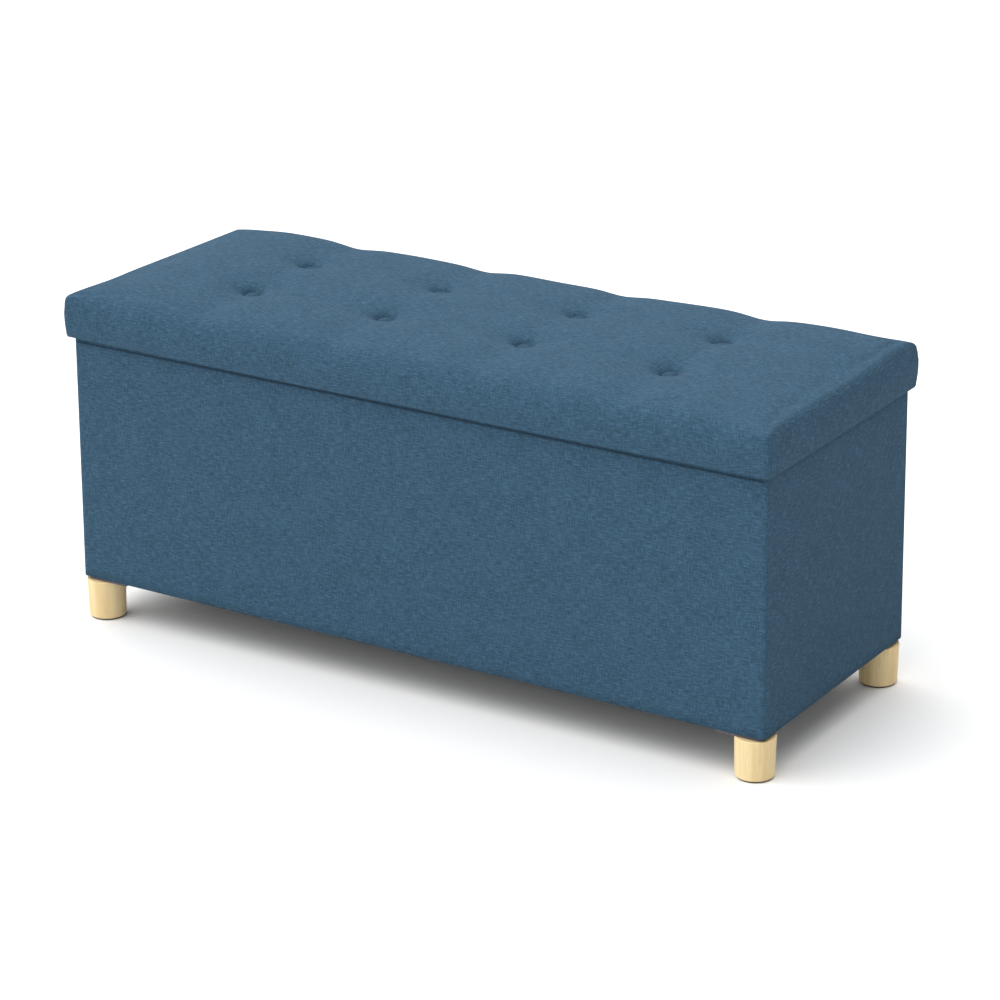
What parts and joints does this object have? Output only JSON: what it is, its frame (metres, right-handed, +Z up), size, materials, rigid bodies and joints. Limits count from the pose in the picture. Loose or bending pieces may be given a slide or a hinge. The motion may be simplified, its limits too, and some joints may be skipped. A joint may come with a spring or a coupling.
{
  "type": "storage bench",
  "caption": "Rectangular fabric-covered storage bench with a tufted lift-off lid, an open lined box and round wooden feet.",
  "frame": {"origin": "on the floor under the middle of the bench", "axes": "+X along the bench's length to its right, +Y towards its back, +Z up"},
  "size_m": [1, 0.38, 0.447],
  "materials": {
    "blue_linen": "matte",
    "black_lining": "matte",
    "foam": "matte",
    "fibreboard": "matte",
    "plywood": "matte",
    "pale_wood": "satin",
    "grey_plate": "satin",
    "bright_zinc": "satin",
    "yellow_zinc": "satin",
    "dark_pad": "matte",
    "white_plastic": "matte",
    "tie_twine": "matte"
  },
  "bodies": {
    "box": {"base_board": "fibreboard", "base_screws": "bright_zinc", "body_cover": "blue_linen", "cloth_staples": "bright_zinc", "corner_plate_front_left": "grey_plate", "corner_plate_front_right": "grey_plate", "corner_plate_rear_left": "grey_plate", "corner_plate_rear_right": "grey_plate", "floor_lining": "black_lining", "foot_front_left": "pale_wood", "foot_front_right": "pale_wood", "foot_pad_front_left": "dark_pad", "foot_pad_front_right": "dark_pad", "foot_pad_rear_left": "dark_pad", "foot_pad_rear_right": "dark_pad", "foot_rear_left": "pale_wood", "foot_rear_right": "pale_wood", "front_board": "fibreboard", "hanger_bolts": "bright_zinc", "left_board": "fibreboard", "plate_screws": "bright_zinc", "rear_board": "fibreboard", "right_board": "fibreboard", "threaded_inserts": "yellow_zinc", "underside_cloth": "black_lining", "wall_lining": "black_lining", "wall_screws": "bright_zinc"},
    "lid": {"foam_pad": "foam", "lid_board": "plywood", "lid_cover": "blue_linen", "lid_lining": "black_lining", "lid_rim_front": "plywood", "lid_rim_left": "plywood", "lid_rim_rear": "plywood", "lid_rim_right": "plywood", "lid_staples": "bright_zinc", "tie_washers": "white_plastic", "tuft_button_front_1": "blue_linen", "tuft_button_front_2": "blue_linen", "tuft_button_front_3": "blue_linen", "tuft_button_front_4": "blue_linen", "tuft_button_rear_1": "blue_linen", "tuft_button_rear_2": "blue_linen", "tuft_button_rear_3": "blue_linen", "tuft_button_rear_4": "blue_linen", "tuft_ties": "tie_twine"}
  },
  "joints": [
    {"name": "lid_lift", "type": "slide", "parent": "box", "child": "lid", "axis": [0, 0, 1], "range_m": [0, 0.25]}
  ]
}
